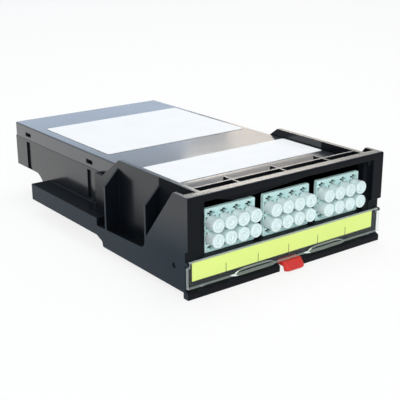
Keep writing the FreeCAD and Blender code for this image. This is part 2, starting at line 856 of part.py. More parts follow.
def lid():
    """A plate with side and rear walls that stand on the case walls."""
    body = DOC.addObject("PartDesign::Body", "lid_body")
    plan = [
        ("-case_side", "lid_front"),
        ("case_side", "lid_front"),
        ("case_side", "case_depth", "lid_corner"),
        ("-case_side", "case_depth", "lid_corner"),
    ]
    pad(body, "lid_block", "xy", plan, "case_seam", "lid_top")
    front = rectangle("-case_side - 1", "case_side + 1", "lid_front - 1", "chamber_end")
    pocket(body, "lid_front_space", "xy", front, "case_seam", "lid_under")
    inside = rectangle("-lid_inner", "lid_inner", "lid_front - 1", "case_depth - lid_wall")
    pocket(body, "lid_space", "xy", inside, "case_seam", "lid_under")
    for name in ("front_snap", "rear_snap"):
        near, far = f"{name} - tongue_width / 2", f"{name} + tongue_width / 2"
        relief = rectangle(f"{near} - nub_clearance", f"{far} + nub_clearance",
                           "case_seam", "snap_window_high")
        pocket(body, name + "_relief", "yz", relief,
               "-lid_inner - relief_depth", "lid_inner + relief_depth")
        window = rectangle(f"{name} - snap_window_width / 2", f"{name} + snap_window_width / 2",
                           "snap_window_low", "snap_window_high")
        pocket(body, name + "_window", "yz", window, "-case_side - 1", "case_side + 1")
    soften(body, "lid_top_edges", "Fillet", "lid_edge", lambda edge: level(edge, number("lid_top")))
    node("lid", [body])


def lid_label(name):
    """A flat paper label on the lid."""
    outline = rectangle("label_left", name + "_label_right",
                        name + "_label_front", name + "_label_back", "label_round")
    node("lid_label_" + name, [slab(name + "_label", "xy", outline,
                                    "lid_top", "lid_top + label_thickness")])


def label_strip():
    """The paper strip behind the clear cover."""
    back = "pocket_setback + strip_inset + label_thickness"
    strip = wide("strip", "strip_half", (f"{back} - label_thickness", back),
                 ("strip_low", "strip_high"))
    node("label_strip", [strip])


def label_cover():
    """The clear cover: a plate hinged along its top edge, with finger bars at the bottom."""
    edge = "cover_wall / 2 - 0.01"
    section = [
        ("cover_front", "cover_bottom"),
        ("cover_back", "cover_bottom"),
        ("cover_back", "hinge_height + cover_wall / 2", edge),
        ("cover_front", "hinge_height + cover_wall / 2", edge),
    ]
    plate = slab("cover_plate", "yz", section, "-cover_end", "cover_end")
    relief = block("cover_corner", ("hinge_end", "half_width + 1"), ("-1", "pocket_setback"),
                   ("hinge_height - ear_relief", "hinge_height + ear_relief"))
    solids = [cut("cover_with_corners", plate, pair(relief))]
    pins = rod("cover_pin", "x", "hinge_pin_radius", ("hinge_end - 1", "hinge_back", "hinge_height"),
               "ear_width + ear_clearance + 0.7")
    bar = block("finger_bar",
                ("finger_bar_gap - finger_bar_width / 2", "finger_bar_gap + finger_bar_width / 2"),
                ("cover_front - finger_bar_depth", "cover_back"),
                ("cover_bottom", "cover_bottom + finger_bar_height"))
    clip = block("cover_clip", ("clip_offset - clip_width / 2", "clip_offset + clip_width / 2"),
                 ("cover_front - clip_depth", "cover_back"),
                 ("cover_bottom", "cover_bottom + clip_height"))
    for item in (pins, bar, clip):
        solids += pair(item)
    node("label_cover", [fuse("cover_solids", solids)])


# ---------------------------------------------------------------- release lever

def release_lever():
    """The finger tab in front, the arm with its hook behind, and the hub on the pin."""
    body = DOC.addObject("PartDesign::Body", "lever_body")
    tab = [
        ("tab_curl - tab_reach", "tab_tip", 0.3),
        ("-tab_reach", "tab_tip + tab_curl", 0.4),
        ("tab_curl / 2 - tab_reach", "tab_tip + tab_nose", 0.5),
        ("-tab_shoulder", "tab_top", 1.2),
        ("sill_back", "tab_top"),
        ("sill_back + neck_rise", "arm_high"),
        ("sill_back + neck_length", "arm_high"),
        ("sill_back + neck_length", "arm_low"),
        ("sill_back + neck_rise", "arm_low"),
        ("sill_back", "tab_top - tab_wall"),
        ("-1.5 * tab_shoulder", "tab_top - tab_wall", 0.6),
    ]
    pad(body, "tab", "yz", tab, "-tab_width / 2", "tab_width / 2")
    arm = [
        ("sill_back + neck_rise", "arm_low"),
        ("arm_end - hook_length", "arm_low"),
        ("arm_end - hook_length / 2", "hook_low"),
        ("arm_end", "hook_low"),
        ("arm_end", "arm_high"),
        ("sill_back + neck_rise", "arm_high"),
    ]
    pad(body, "arm", "yz", arm, "-arm_width / 2", "arm_width / 2")
    gap = rectangle("pivot_back - hub_radius - spring_space", "pivot_back + hub_radius",
                    "0", "tunnel_height")
    pocket(body, "spring_space", "yz", gap, "hub_width / 2", "arm_width / 2 + 1")
    pocket(body, "spring_space_left", "yz", gap, "-arm_width / 2 - 1", "-hub_width / 2")
    hub = rod("lever_hub", "x", "hub_radius", ("-hub_width / 2", "pivot_back", "pivot_height"),
              "hub_width")
    bore = rod("lever_bore", "x", "pin_radius + pin_clearance",
               ("-hub_width", "pivot_back", "pivot_height"), "2 * hub_width")
    lever = fuse("lever_and_hub", [body, hub])
    node("release_lever", [cut("bored_lever", lever, [bore])])


def lever_pin():
    length = "2 * (tunnel_outer - pin_end_gap)"
    pin = rod("pin", "x", "pin_radius", ("-tunnel_outer + pin_end_gap", "pivot_back", "pivot_height"),
              length)
    node("lever_pin", [pin])


def lever_spring():
    """A torsion spring on the pin beside the hub, one leg over the arm and one to the front."""
    wire = number("spring_wire / 2")
    radius = number("spring_radius")
    height = number("spring_pitch * spring_turns")
    start = FreeCAD.Vector(radius, 0, 0)
    helix = Part.makeHelix(number("spring_pitch"), height, radius)
    ring = Part.Wire([Part.makeCircle(wire, start, FreeCAD.Vector(0, 1, 0))])
    coil = Part.Wire(helix.Edges).makePipeShell([ring], True, True)
    rear = Part.makeCylinder(wire, number("spring_rear_leg"), start, FreeCAD.Vector(0, -1, 0))
    front = Part.makeCylinder(wire, number("spring_front_leg"),
                              start + FreeCAD.Vector(0, 0, height), FreeCAD.Vector(0, 1, 0))
    item = DOC.addObject("Part::Feature", "spring")
    item.Shape = coil.fuse([rear, front])
    turn = FreeCAD.Rotation(FreeCAD.Vector(0, 0, 1), FreeCAD.Vector(0, -1, 0), FreeCAD.Vector(1, 0, 0))
    beside = "hub_width / 2 + spring_wire / 2 + spring_gap"
    item.Placement.Rotation = turn
    move(item, beside, "pivot_back", "pivot_height")
    node("lever_spring", [item])


# ---------------------------------------------------------------- front adapters and dust caps

def port_cut(name, x, front, back):
    """One port of an upper adapter, with the latch slot above it."""
    top = "upper_row + port_height / 2"
    hole = block(name + "_hole", (f"{x} - port_width / 2", f"{x} + port_width / 2"), (front, back),
                 ("upper_row - port_height / 2", top))
    stem = block(name + "_stem", (f"{x} - latch_stem_width / 2", f"{x} + latch_stem_width / 2"),
                 (front, back), (f"{top} - 0.1", f"{top} + latch_stem_height"))
    bar = block(name + "_bar", (f"{x} - latch_bar_width / 2", f"{x} + latch_bar_width / 2"),
                (front, back), (f"{top} + latch_bar_lift", f"{top} + latch_bar_lift + latch_bar_height"))
    return [hole, stem, bar]


def upper_adapter():
    """An adapter of four ports: body, flange, ports at both ends and a barrel for each sleeve."""
    half = "block_width / 2"
    outline = rectangle(f"-{half}", half, "adapter_low", "adapter_high", "adapter_round")
    body = slab("adapter_body", "xz", outline, "adapter_front", "adapter_back")
    flange = wide("adapter_flange", "block_width / 2 + flange_margin",
                  ("bulkhead_back", "bulkhead_back + flange_thickness"),
                  ("adapter_low + adapter_round", "adapter_high + flange_margin"))
    cuts = []
    barrels = []
    bores = []
    for port in range(4):
        x = f"{port - 1.5} * port_pitch"
        cuts += port_cut(f"front_port_{port + 1}", x, "adapter_front - 1", "web_front")
        cuts += port_cut(f"rear_port_{port + 1}", x, "web_back", "adapter_back + 1")
        start = (x, "web_front - barrel_length", "upper_row")
        length = "web_back - web_front + 2 * barrel_length"
        barrels.append(rod(f"barrel_{port + 1}", "y", "barrel_radius", start, length))
        bores.append(rod(f"sleeve_bore_{port + 1}", "y", "sleeve_radius + sleeve_clearance",
                         start, length))
    shell = cut("adapter_shell", fuse("adapter_solid", [body, flange]), cuts)
    return cut("adapter", fuse("adapter_with_barrels", [shell] + barrels), bores)


def front_adapters():
    upper = upper_adapter()
    lower = mirrored(upper, "z", "block_middle")
    for column, side in ((-1, "left"), (0, "middle"), (1, "right")):
        node(f"lc_adapter_{side}_upper", [upper], x=f"{column} * block_pitch")
        node(f"lc_adapter_{side}_lower", [lower], x=f"{column} * block_pitch")


def port_places():
    """The twelve port centres of one row, from left to right."""
    return [f"{column} * block_pitch + {port - 1.5} * port_pitch"
            for column in (-1, 0, 1) for port in range(4)]


def dust_caps():
    """A round cap in each port: a head with a ring and an eye, and a hollow shank."""
    profile = [
        ("0", "cap_front + cap_eye_depth"),
        ("cap_eye_radius", "cap_front + cap_eye_depth"),
        ("cap_eye_radius", "cap_front + cap_ring_depth"),
        ("cap_ring_radius", "cap_front + cap_ring_depth"),
        ("cap_ring_radius", "cap_front"),
        ("cap_radius", "cap_front", 0.3),
        ("cap_radius", "adapter_front"),
        ("cap_shank_radius", "adapter_front"),
        ("cap_shank_radius", "adapter_front + cap_shank", 0.2),
        ("cap_bore_radius", "adapter_front + cap_shank"),
        ("cap_bore_radius", "adapter_front"),
        ("0", "adapter_front"),
    ]
    cap = lathe("cap_turning", profile)
    for row in ("upper", "lower"):
        for port, x in enumerate(port_places(), start=1):
            name = f"dust_cap_{row}_{port:02d}"
            node(name, [copy_of(cap, name + "_copy", x, row + "_row")])


def sleeves():
    """The ceramic sleeves that line up the ferrules, one in each barrel."""
    start = "web_front - barrel_length + sleeve_end_gap"
    length = "web_back - web_front + 2 * (barrel_length - sleeve_end_gap)"
    tube = rod("sleeve_tube", "y", "sleeve_radius", ("0", start, "0"), length)
    bore = rod("sleeve_hollow", "y", "sleeve_radius - sleeve_wall", ("0", start, "0"), length)
    sleeve = cut("sleeve", tube, [bore])
    for row in ("upper", "lower"):
        copies = [copy_of(sleeve, f"sleeve_{row}_{port}", x, row + "_row")
                  for port, x in enumerate(port_places(), start=1)]
        node(f"alignment_sleeves_{row}", copies)


# ---------------------------------------------------------------- plugs behind the adapters

def inner_plugs():
    """A plug behind each port: square body, ferrule and boot."""
    half = "plug_size / 2"
    body = block("plug_body", (f"-{half}", half), ("plug_front", "plug_back"), (f"-{half}", half))
    ferrule = rod("plug_ferrule", "y", "ferrule_radius",
                  ("0", "plug_front - ferrule_length", "0"), "ferrule_length + 1")
    boot = cone("plug_boot", "y", ("boot_radius", "boot_tip_radius"),
                ("0", "plug_back - 0.01", "0"), "boot_length + 0.01")
    plug = fuse("plug", [body, ferrule, boot])
    for row in ("upper", "lower"):
        copies = [copy_of(plug, f"plug_{row}_{port}", x, row + "_row")
                  for port, x in enumerate(port_places(), start=1)]
        node(f"lc_plugs_{row}", copies)


# ---------------------------------------------------------------- rear adapters

def around(centre, width):
    return (f"{centre} - ({width}) / 2", f"{centre} + ({width}) / 2")


def rear_adapter():
    body = block("mpo_body", around("0", "mpo_width"), ("mpo_inner_end", "mpo_outer_end"),
                 around("mpo_height", "mpo_tall"))
    flange = block("mpo_flange_plate", around("0", "mpo_flange_width"),
                   ("case_depth", "case_depth + mpo_flange"), around("mpo_height", "mpo_flange_tall"))
    ports = [
        block("mpo_outer_port", around("0", "mpo_port_width"),
              ("mpo_outer_end - mpo_port_depth", "mpo_outer_end + 1"),
              around("mpo_height", "mpo_port_tall")),
        block("mpo_inner_port", around("0", "mpo_port_width"),
              ("mpo_inner_end - 1", "mpo_inner_end + mpo_port_depth"),
              around("mpo_height", "mpo_port_tall")),
        block("mpo_light_path", around("0", "mpo_port_width / 2"),
              ("mpo_inner_end", "mpo_outer_end"), around("mpo_height", "mpo_port_tall / 3")),
    ]
    return cut("mpo_adapter", fuse("mpo_solid", [body, flange]), ports)


def rear_cap():
    """A cap with a hollow shank that plugs a rear port."""
    head = block("mpo_cap_plate", around("0", "mpo_cap_width"), ("mpo_outer_end", "mpo_cap_back"),
                 around("mpo_height", "mpo_cap_tall"))
    shank = block("mpo_cap_plug", around("0", "mpo_port_width - 2 * mpo_fit"),
                  ("mpo_outer_end - mpo_cap_shank", "mpo_outer_end + 0.5"),
                  around("mpo_height", "mpo_port_tall - 2 * mpo_fit"))
    hollow = block("mpo_cap_hollow", around("0", "mpo_port_width - 2 * mpo_fit - 2 * mpo_cap_wall"),
                   ("mpo_outer_end - mpo_cap_shank - 1", "mpo_outer_end"),
                   around("mpo_height", "mpo_port_tall - 2 * mpo_fit - 2 * mpo_cap_wall"))
    return cut("mpo_cap", fuse("mpo_cap_solid", [head, shank]), [hollow])


def rear_plug():
    body = block("mpo_plug_body", around("0", "mpo_port_width - 2 * mpo_fit"),
                 ("mpo_plug_front", "mpo_plug_back"),
                 around("mpo_height", "mpo_port_tall - 2 * mpo_fit"))
    boot = cone("mpo_boot", "y", ("mpo_boot_tip_radius", "mpo_boot_radius"),
                ("0", "mpo_boot_end", "mpo_height"), "mpo_boot_length + 0.5")
    return fuse("mpo_plug", [body, boot])


def rear_ports():
    pieces = (("mpo_adapter", rear_adapter()), ("mpo_dust_cap", rear_cap()),
              ("mpo_plug", rear_plug()))
    for label, solid in pieces:
        node(label + "_left", [solid], x="-mpo_spacing / 2")
        node(label + "_right", [solid], x="mpo_spacing / 2")


# ---------------------------------------------------------------- fibre

def tube(points, radius):
    """A round solid along straight runs joined by tangent arcs."""
    edges = []
    last = points[0]
    for before, corner, after in zip(points, points[1:], points[2:]):
        back, ahead = before - corner, after - corner
        half = back.getAngle(ahead) / 2
        reach = 0.45 * min(back.Length, ahead.Length)
        back.normalize()
        ahead.normalize()
        start, finish = corner + back * reach, corner + ahead * reach
        bend = reach * math.tan(half)
        centre = corner + (back + ahead).normalize() * (bend / math.sin(half))
        middle = centre + (corner - centre).normalize() * bend
        edges.append(Part.LineSegment(last, start).toShape())
        edges.append(Part.Arc(start, middle, finish).toShape())
        last = finish
    edges.append(Part.LineSegment(last, points[-1]).toShape())
    ring = Part.Wire([Part.makeCircle(radius, points[0], points[1] - points[0])])
    return Part.Wire(edges).makePipeShell([ring], True, False)


def fibre_coil():
    """The slack of all the fibres, wound once round both spools."""
    turn, back, height = number("coil_turn"), number("spool_back"), number("coil_height")
    reach = number("spool_side")
    section = number("coil_radius")
    runs = []
    for side in (-1, 1):
        run = Part.makeCylinder(section, 2 * reach, FreeCAD.Vector(-reach, back + side * turn, height),
                                FreeCAD.Vector(1, 0, 0))
        bend = Part.makeTorus(turn, section, FreeCAD.Vector(side * reach, back, height),
                              FreeCAD.Vector(0, 0, 1), 0, 360, 180)
        if side > 0:
            bend.rotate(FreeCAD.Vector(reach, back, height), FreeCAD.Vector(0, 0, 1), -90)
        else:
            bend.rotate(FreeCAD.Vector(-reach, back, height), FreeCAD.Vector(0, 0, 1), 90)
        runs += [run, bend]
    item = DOC.addObject("Part::Feature", "coil")
    item.Shape = runs[0].fuse(runs[1:]).removeSplitter()
    node("fibre_coil", [item])


def fibre_fan(row, side):
    """One fibre from each plug boot of a row down into the coil, the upper row over the lower."""
    aside = side * number("fan_aside")
    boot = number("boot_end")
    front = number("spool_back - coil_turn")
    low = number("coil_height") + side * number("fan_over")
    high = number(row + "_row")
    strands = []
    for place in port_places():
        x = number(place)
        points = [
            FreeCAD.Vector(x, boot, high),
            FreeCAD.Vector(x, boot + number("fan_straight"), high),
            FreeCAD.Vector(0.92 * x + aside, front - number("fan_run"), low + number("fan_rise")),
            FreeCAD.Vector(0.84 * x + aside, front, low + number("fan_entry")),
        ]
        strands.append(tube(points, number("fibre_radius")))
    item = DOC.addObject("Part::Feature", f"{row}_strands")
    item.Shape = Part.makeCompound(strands)
    node(f"fibre_fan_{row}", [item])


def fibre_leads():
    """The ribbon from each rear plug down to the back of the coil."""
    boot, high = number("mpo_boot_end"), number("mpo_height")
    rear, low = number("spool_back + coil_turn"), number("coil_height")
    x = number("mpo_spacing / 2")
    for side, name in ((-1, "left"), (1, "right")):
        points = [
            FreeCAD.Vector(side * x, boot, high),
            FreeCAD.Vector(side * x, boot - number("lead_straight"), high),
            FreeCAD.Vector(side * (x - number("lead_swing")), rear, low + number("lead_rise")),
            FreeCAD.Vector(side * (x - number("lead_run")), rear, low + number("lead_entry")),
        ]
        item = DOC.addObject("Part::Feature", f"{name}_lead")
        item.Shape = tube(points, number("lead_radius"))
        node(f"fibre_lead_{name}", [item])


# ---------------------------------------------------------------- build and export

def check_document():
    for item in DOC.Objects:
        if "Invalid" in item.State or "Error" in item.State:
            raise RuntimeError(f"{item.Label} failed to build: {item.State}")
    for item in NODES:
        if item.Shape.isNull() or not item.Shape.isValid() or not item.Shape.Solids:
            raise RuntimeError(f"{item.Label} isn't a valid solid")


def export_nodes():
    os.makedirs("parts", exist_ok=True)
    for item in NODES:
        item.Shape.exportStep(f"parts/{item.Label}.step")
        print(f"{item.Label}: {len(item.Shape.Solids)} solids, {item.Shape.Volume:.1f} mm3")


SHEET = fill_sheet("Sizes", {name: str(size) for name, size in SIZES.items()})
fill_sheet("Places", {name: "=" + formula(text) for name, text in PLACES.items()})
DOC.recompute()

cassette_base()
lid()
lid_label("rear")
lid_label("front")
label_strip()
label_cover()
release_lever()
lever_pin()
lever_spring()
front_adapters()
sleeves()
inner_plugs()
dust_caps()
rear_ports()
fibre_coil()
fibre_fan("upper", 1)
fibre_fan("lower", -1)
fibre_leads()

DOC.recompute()
check_document()
export_nodes()
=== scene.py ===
"""Fibre cassette: finishes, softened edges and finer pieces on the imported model."""

import json
import math
import random
from functools import reduce

import bmesh
import bpy
from mathutils import Matrix, Vector


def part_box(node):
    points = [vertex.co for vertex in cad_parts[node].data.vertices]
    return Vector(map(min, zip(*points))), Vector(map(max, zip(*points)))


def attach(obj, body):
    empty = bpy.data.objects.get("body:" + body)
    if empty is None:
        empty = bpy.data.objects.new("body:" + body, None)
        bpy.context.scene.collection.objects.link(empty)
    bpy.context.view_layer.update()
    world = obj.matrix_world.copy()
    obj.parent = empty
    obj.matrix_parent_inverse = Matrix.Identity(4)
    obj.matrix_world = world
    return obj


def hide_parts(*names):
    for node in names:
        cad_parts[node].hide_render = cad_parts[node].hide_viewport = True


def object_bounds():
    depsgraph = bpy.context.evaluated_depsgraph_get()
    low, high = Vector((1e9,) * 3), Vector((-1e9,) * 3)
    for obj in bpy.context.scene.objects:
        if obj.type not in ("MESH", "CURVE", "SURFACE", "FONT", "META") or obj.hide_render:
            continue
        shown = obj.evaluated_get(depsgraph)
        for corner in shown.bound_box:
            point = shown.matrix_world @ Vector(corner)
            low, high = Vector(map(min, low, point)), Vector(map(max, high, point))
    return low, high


MM = 0.001
ACROSS, BACK = Vector((1, 0, 0)), Vector((0, 1, 0))

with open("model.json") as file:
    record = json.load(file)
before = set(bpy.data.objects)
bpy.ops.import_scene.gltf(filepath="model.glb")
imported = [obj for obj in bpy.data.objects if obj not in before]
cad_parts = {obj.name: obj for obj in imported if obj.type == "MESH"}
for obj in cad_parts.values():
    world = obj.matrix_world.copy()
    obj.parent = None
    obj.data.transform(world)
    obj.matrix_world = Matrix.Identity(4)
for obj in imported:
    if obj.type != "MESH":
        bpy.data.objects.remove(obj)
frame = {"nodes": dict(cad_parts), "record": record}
CAD_LOW, CAD_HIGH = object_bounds()
NODES = frame["nodes"]
BODY_OF = {node: body for body, nodes in frame["record"]["behaviour"]["bodies"].items()
           for node in nodes}
CASE_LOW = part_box("cassette_base")[0]

# The two finger bars on the clear cover: how far off the cassette's middle, half width and height.
BAR_MIDDLE, BAR_HALF, BAR_HEIGHT = 19.6 * MM, 10.8 * MM, 2.4 * MM


# ---------------------------------------------------------------- shader maths

class Value:
    """A shader socket. Sums on it add their own Math nodes."""

    def __init__(self, nodes, socket):
        self.nodes = nodes
        self.socket = socket

    def maths(self, operation, *inputs):
        return self.nodes.add("ShaderNodeMath", {"operation": operation}, dict(enumerate(inputs)))

    def __add__(self, other):
        return self.maths("ADD", self, other)

    def __sub__(self, other):
        return self.maths("SUBTRACT", self, other)

    def __rsub__(self, other):
        return self.maths("SUBTRACT", other, self)

    def __mul__(self, other):
        return self.maths("MULTIPLY", self, other)

    def __pow__(self, other):
        return self.maths("POWER", self, other)

    def __lt__(self, other):
        return self.maths("LESS_THAN", self, other)

    def __gt__(self, other):
        return self.maths("GREATER_THAN", self, other)

    def __abs__(self):
        return self.maths("ABSOLUTE", self)

    def nearest(self, pitch):
        """How far the value is from the nearest whole number of pitches."""
        return self.maths("PINGPONG", self, pitch / 2)

    def most(self, other):
        return self.maths("MAXIMUM", self, other)

    def least(self, other):
        return self.maths("MINIMUM", self, other)

    __radd__ = __add__
    __rmul__ = __mul__


class Nodes:
    """A node tree, and one way to add any node to it."""

    def __init__(self, tree):
        self.tree = tree

    def add(self, kind, settings=None, inputs=None, output=0):
        node = self.tree.nodes.new(kind)
        for name, value in (settings or {}).items():
            setattr(node, name, value)
        self.feed(node, inputs or {})
        return Value(self, node.outputs[output])

    def feed(self, node, inputs):
        """Link or set sockets of a node by their names or places."""
        for name, value in inputs.items():
            if isinstance(value, Value):
                self.tree.links.new(value.socket, node.inputs[name])
            else:
                node.inputs[name].default_value = value

    def spread(self, value, low, high, start=0.0, end=1.0):
        """A value carried smoothly from one span to another and held at its ends."""
        return self.add("ShaderNodeMapRange", {"interpolation_type": "SMOOTHSTEP"},
                        {"Value": value, "From Min": low, "From Max": high,
                         "To Min": start, "To Max": end})

    def blend(self, share, first, second):
        """A colour between two colours."""
        return self.add("ShaderNodeMix", {"data_type": "RGBA"},
                        {"Factor": share, 6: first, 7: second}, output=2)

    def seen(self, *kinds):
        """One for rays of any of these kinds, none for the rest."""
        return reduce(Value.most, [self.add("ShaderNodeLightPath", output=f"Is {kind} Ray")
                                   for kind in kinds])


class Finish(Nodes):
    """One material and the nodes that feed its shader."""

    def __init__(self, name, **constants):
        self.material = bpy.data.materials.new(name)
        self.material.use_nodes = True
        super().__init__(self.material.node_tree)
        self.shader = self.tree.nodes["Principled BSDF"]
        self.surface = Value(self, self.shader.outputs[0])
        self.set(**constants)

    def set(self, **inputs):
        """Sockets of the shader by their names, with spaces written as underscores."""
        self.feed(self.shader, {name.replace("_", " "): value for name, value in inputs.items()})

    def mix_shaders(self, share, first, second):
        """Show two shaders together, the second by its share."""
        both = self.add("ShaderNodeMixShader", inputs={0: share, 1: first, 2: second})
        self.feed(self.tree.nodes["Material Output"], {"Surface": both})

    def place(self, stretch=(1, 1, 1), centre=(0, 0, 0)):
        """Object coordinates from a centre; a pattern on them is drawn out along each axis."""
        point = self.add("ShaderNodeTexCoord", output="Object")
        return self.add("ShaderNodeMapping", {"vector_type": "TEXTURE"},
                        {"Vector": point, "Location": centre, "Scale": stretch})

    def noise(self, size, detail=3.0, stretch=(1, 1, 1)):
        """Cloudy noise with blotches about one size across, in metres."""
        return self.add("ShaderNodeTexNoise",
                        inputs={"Vector": self.place(stretch), "Scale": 1 / size, "Detail": detail})

    def axis(self, name, centre=(0, 0, 0)):
        """How far a point lies along an axis of the part."""
        return self.add("ShaderNodeSeparateXYZ", inputs={"Vector": self.place(centre=centre)},
                        output=name)

    def facing(self, name):
        """How far a face points along an axis of the part."""
        normal = self.add("ShaderNodeTexCoord", output="Normal")
        return self.add("ShaderNodeSeparateXYZ", inputs={"Vector": normal}, output=name)

    def corners(self):
        """One on rounded edges and slanted faces, none on faces square to the part."""
        square = reduce(Value.most, [abs(self.facing(axis)) for axis in "XYZ"])
        return self.spread(square, 0.8, 0.98, 1.0, 0.0)

    def bump(self, height, depth, strength=1.0):
        self.set(Normal=self.add("ShaderNodeBump", inputs={"Height": height, "Distance": depth,
                                                           "Strength": strength}))


def tone(colour, share):
    """A colour made lighter or darker, with its alpha."""
    return (*(min(1.0, share * part) for part in colour), 1)


# ---------------------------------------------------------------- finishes

def moulded(name, colour, gloss, grain=0.35 * MM, depth=0.012 * MM, clouding=0.12, wear_and_sheen=0.0,
            painted_patch=None, **constants):
    """Injection-moulded plastic: fine spark grain, flow clouds, uneven gloss, and edges and slanted
    faces made lighter in colour, partly rubbed wear and partly a painted sheen.

    A patch is a function that makes a mask for the finish, and the colour painted under that mask:
    painted light, used for a painted reflection.
    """
    finish = Finish(name, **constants)
    pores = finish.noise(grain, 2.0)
    clouds = finish.noise(24 * MM, 4.0)
    streaks = finish.noise(2.4 * MM, 4.0, stretch=(3, 3, 0.6))
    share = clouds * 0.6 + streaks * 0.4
    body = finish.blend(share, tone(colour, 1 - clouding), tone(colour, 1 + clouding))
    if painted_patch:
        # Painted light: the patch colour is painted over its mask.
        where, painted_colour = painted_patch
        body = finish.blend(where(finish), body, (*painted_colour, 1))
    if wear_and_sheen:
        # Edges and slanted faces made lighter: partly rubbed wear, partly a painted sheen.
        rubbed_and_sheen = finish.corners() * finish.spread(streaks, 0.4, 0.65)
        body = finish.blend(rubbed_and_sheen * wear_and_sheen, body, tone(colour, 3.0))
    finish.rough = gloss + (clouds - 0.5) * 0.14 + (pores - 0.5) * 0.1
    finish.set(Base_Color=body, Roughness=finish.rough)
    finish.bump(pores * 0.8 + streaks * 0.2, depth, 0.6)
    return finish


def case_black():
    """Black case: dull front, side plates that shine more towards the top, smooth case walls, and a
    painted reflection: a blue tint on the lower outer side plates for the shaded floor they mirror.
    """
    opening_half, opening_slack, recess_back = 46.5 * MM, 0.5 * MM, -55 * MM
    walls_to, cheeks_from = 43 * MM, 44.5 * MM
    dull_tops_to, glossy_tops_from = 16 * MM, 20 * MM
    plate_foot, plate_head = 15 * MM, 36 * MM
    reflection_fades_from, reflection_fades_to = 20 * MM, 34 * MM

    def painted_reflection_plates(finish):
        """Where the blue painted reflection goes: the outer side plates, less and less towards
        their top.
        """
        outward = finish.spread(abs(finish.facing("X")), 0.5, 0.9)
        outer = outward * (abs(finish.axis("X")) > opening_half)
        return outer * finish.spread(finish.axis("Z"), reflection_fades_from, reflection_fades_to, 1.0, 0.2)

    # The blue patch on the lower outer side plates is a painted reflection of the shaded floor.
    finish = moulded("case_black", (0.0045, 0.006, 0.0085), 0.42, wear_and_sheen=0.5,
                     painted_patch=(painted_reflection_plates, (0.005, 0.017, 0.029)),
                     Specular_IOR_Level=0.1, Coat_Roughness=0.16, Coat_IOR=1.55)
    off_middle, height = abs(finish.axis("X")), finish.axis("Z")
    front = finish.spread(finish.facing("Y"), -0.75, -0.25, 1.0, 0.0)
    side = finish.spread(abs(finish.facing("X")), 0.3, 0.8)
    top = finish.spread(finish.facing("Z"), 0.3, 0.8)
    recess = side * (off_middle < opening_half + opening_slack) * (finish.axis("Y") < recess_back)
    walls = finish.spread(off_middle, walls_to, cheeks_from, 0.95, 0.0)
    plates = finish.spread(height, plate_foot, plate_head, 0.12, 0.75)
    side_gloss = side * walls.most(plates) * (1 - recess * 0.95)
    top_gloss = top * finish.spread(height, dull_tops_to, glossy_tops_from, 0.12, 1.0)
    edge_gloss = (1 - side.most(top)) * 0.6
    finish.set(Coat_Weight=(1 - front) * (side_gloss + top_gloss + edge_gloss).least(1.0),
               Roughness=finish.rough + recess * 0.35)
    return finish.material


def lid_black():
    """The lid's smoother black, glossy behind a dull band at its front."""
    dull_end, gloss_start = -62 * MM, -56 * MM
    finish = moulded("lid_black", (0.016, 0.018, 0.022), 0.34, grain=0.5 * MM, depth=0.006 * MM,
                     wear_and_sheen=0.4, Specular_IOR_Level=0.5, Coat_Roughness=0.13, Coat_IOR=1.6)
    behind_band = finish.spread(finish.axis("Y"), dull_end, gloss_start, 0.06, 1.0)
    upward = finish.spread(finish.facing("Z"), -0.1, 0.4, 0.8, 1.0)
    finish.set(Coat_Weight=upward * behind_band)
    return finish.material


def strip_card(low, high):
    """Yellow-green card with short ruled lines up from its lower edge that part it into six."""
    fields, line_half, line_height = 6, 0.16 * MM, 3.6 * MM
    # The card glows a little by emission: painted light that makes it brighter.
    finish = Finish("strip_card", Specular_IOR_Level=0.3, Emission_Strength=0.1)
    fibres = finish.noise(0.6 * MM, 4.0, stretch=(3, 1, 1))
    mottle = finish.noise(9 * MM, 3.0)
    card = finish.blend(mottle * 0.7 + fibres * 0.3, (0.82, 0.95, 0.22, 1), (0.92, 1.0, 0.30, 1))
    width = high.x - low.x
    along = finish.axis("X", centre=((low.x + high.x) / 2, 0, 0))
    line = along.nearest(width / fields) < line_half
    inside = abs(along) < 0.45 * width
    foot = finish.axis("Z") < low.z + line_height
    ink = line * inside * foot * finish.spread(fibres, 0.2, 0.5, 0.6, 0.95)
    printed = finish.blend(ink, card, (0.05, 0.08, 0.03, 1))
    finish.set(Base_Color=printed, Emission_Color=printed, Roughness=0.5 + (fibres - 0.5) * 0.2)
    finish.bump(fibres, 0.006 * MM, 0.4)
    return finish.material


def paper():
    """Matt label stock: soft fibres and a slightly mottled white."""
    finish = Finish("label_paper", Specular_IOR_Level=0.35)
    fibres = finish.noise(0.5 * MM, 5.0, stretch=(1, 3, 1))
    mottle = finish.noise(14 * MM, 3.0)
    stock = finish.blend(mottle * 0.7 + fibres * 0.3, (0.84, 0.86, 0.89, 1), (0.93, 0.935, 0.94, 1))
    finish.set(Base_Color=stock, Roughness=0.6 + (fibres - 0.5) * 0.2)
    finish.bump(fibres, 0.01 * MM, 0.5)
    return finish.material


def drawn_steel():
    """Drawn steel with fine streaks along its length."""
    finish = Finish("drawn_steel", Metallic=1.0)
    streaks = finish.noise(0.12 * MM, 3.0, stretch=(16, 1, 1))
    finish.set(Base_Color=finish.blend(streaks, (0.46, 0.46, 0.47, 1), (0.70, 0.69, 0.68, 1)),
               Roughness=0.22 + streaks * 0.2)
    finish.bump(streaks, 0.004 * MM)
    return finish.material


